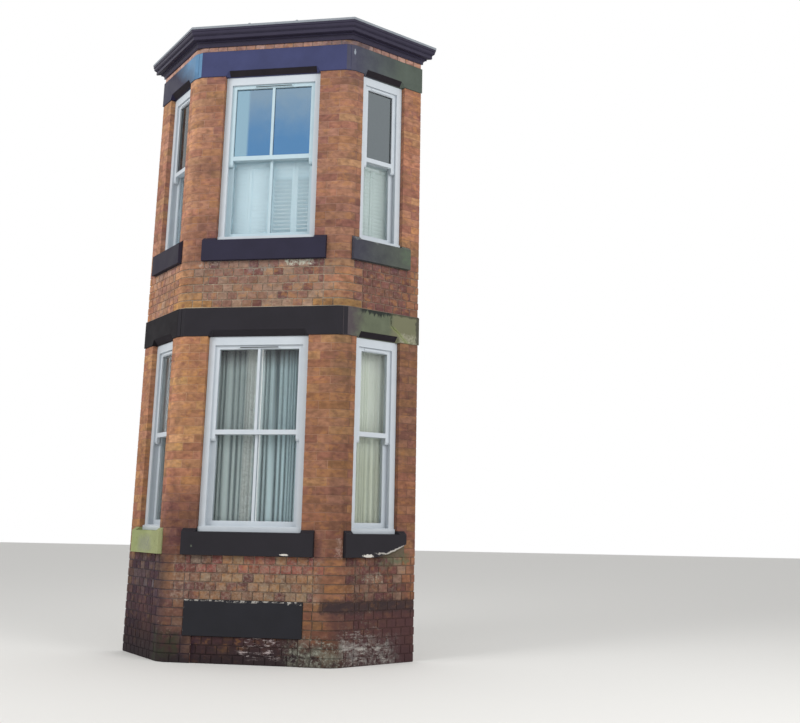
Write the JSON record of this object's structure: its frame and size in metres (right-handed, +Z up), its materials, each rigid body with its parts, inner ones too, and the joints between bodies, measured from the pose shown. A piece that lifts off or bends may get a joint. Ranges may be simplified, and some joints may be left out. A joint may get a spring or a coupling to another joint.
{
  "type": "two-storey canted brick bay window",
  "caption": "Two-storey canted bay of solid brick with stone sills and lintels, sash windows, moulded cornice and lead roof, cut off flat at the house wall.",
  "frame": {"origin": "middle of the bounding box, on the ground", "axes": "+X along the house wall to the right as seen from outside, -Y out of the front, +Z up"},
  "size_m": [3.445, 0.797, 6.8517],
  "materials": {
    "brick": "matt pressed brick with pale joints",
    "infill_brick": "matt, darker common brick",
    "black_stone": "stone under old black paint",
    "navy_stone": "stone under blue-black gloss paint",
    "grey_stone": "bare weathered stone",
    "buff_stone": "bare weathered stone with a black upper edge",
    "lichen_stone": "bare stone with yellow-green lichen",
    "dark_paint": "wood under dark gloss paint",
    "white_paint": "wood under white satin paint",
    "glass": "clear",
    "timber": "sawn softwood",
    "plaster": "painted plaster, matt",
    "lead": "weathered sheet lead",
    "curtain": "light woven cloth"
  },
  "bodies": {
    "root": {"base_wall": "brick", "cellar_infill": "infill_brick", "cellar_panel": "black_stone", "ground_sill_left": "lichen_stone", "ground_sill_front": "black_stone", "ground_sill_right": "black_stone", "ground_piers": "brick", "ground_lintel_left": "black_stone", "ground_lintel_front": "black_stone", "ground_lintel_right": "buff_stone", "spandrel_wall": "brick", "first_sill_left": "navy_stone", "first_sill_front": "navy_stone", "first_sill_right": "grey_stone", "first_piers": "brick", "first_lintel_left": "navy_stone", "first_lintel_front": "navy_stone", "first_lintel_right": "grey_stone", "head_course": "brick", "cornice": "dark_paint", "roof_joists": "timber", "roof_deck": "timber", "lead_roof": "lead", "ground_front_frame": "white_paint", "ground_side_frames": "white_paint", "first_front_frame": "white_paint", "first_side_frames": "white_paint", "ground_front_sashes": "white_paint", "ground_side_sashes": "white_paint", "first_front_sashes": "white_paint", "first_side_sashes": "white_paint", "ground_glass": "glass", "first_glass": "glass", "ground_floor_joists": "timber", "ground_floor_boards": "timber", "first_floor_joists": "timber", "first_floor_boards": "timber", "ground_ceiling": "plaster", "first_ceiling": "plaster", "ground_plaster": "plaster", "first_plaster": "plaster", "window_boards": "white_paint", "cafe_shutters": "white_paint", "curtain_rods": "white_paint", "ground_curtains": "curtain"}
  },
  "joints": []
}
